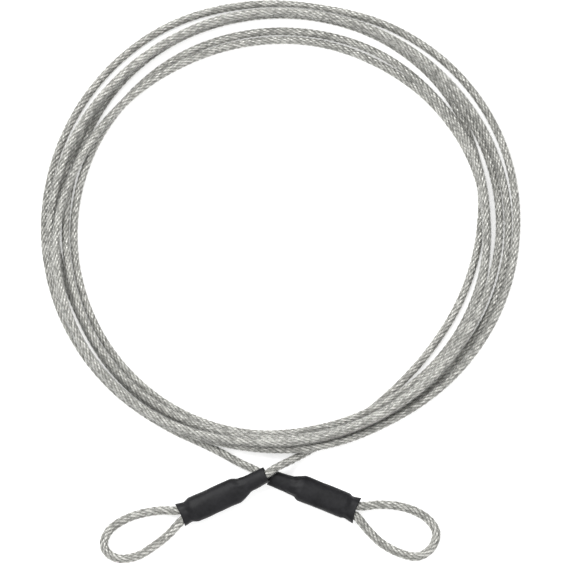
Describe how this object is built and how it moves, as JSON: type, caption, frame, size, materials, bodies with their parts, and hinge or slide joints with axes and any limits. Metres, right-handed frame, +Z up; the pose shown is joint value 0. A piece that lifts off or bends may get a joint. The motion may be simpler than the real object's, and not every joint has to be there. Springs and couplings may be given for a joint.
{
  "type": "cable lock",
  "caption": "Looped security cable coiled in a flat ring: clear-jacketed wire rope with a crimped eye and a black heat-shrink sleeve at each end.",
  "frame": {"origin": "on the surface that the cable lies on, under the middle of the whole object", "axes": "+Z up, +Y from the two eyes towards the far side of the coil, +X towards the right eye"},
  "size_m": [0.2596, 0.3038, 0.018],
  "materials": {
    "coil": "wire rope in clear vinyl, coiled",
    "wire_rope": "galvanised, stranded",
    "jacket": "clear vinyl",
    "heat_shrink": "matte black, slightly wrinkled",
    "ferrule": "crimped"
  },
  "bodies": {
    "root": {"coiled_cable": "coil", "left_shrink_sleeve": "heat_shrink", "left_ferrule": "ferrule", "left_live_leg_rope": "wire_rope", "left_dead_leg_rope": "wire_rope", "left_eye_rope": "wire_rope", "left_eye_jacket": "jacket", "left_tail_rope": "wire_rope", "left_tail_jacket": "jacket", "right_shrink_sleeve": "heat_shrink", "right_ferrule": "ferrule", "right_live_leg_rope": "wire_rope", "right_dead_leg_rope": "wire_rope", "right_eye_rope": "wire_rope", "right_eye_jacket": "jacket", "right_tail_rope": "wire_rope", "right_tail_jacket": "jacket"}
  },
  "joints": []
}
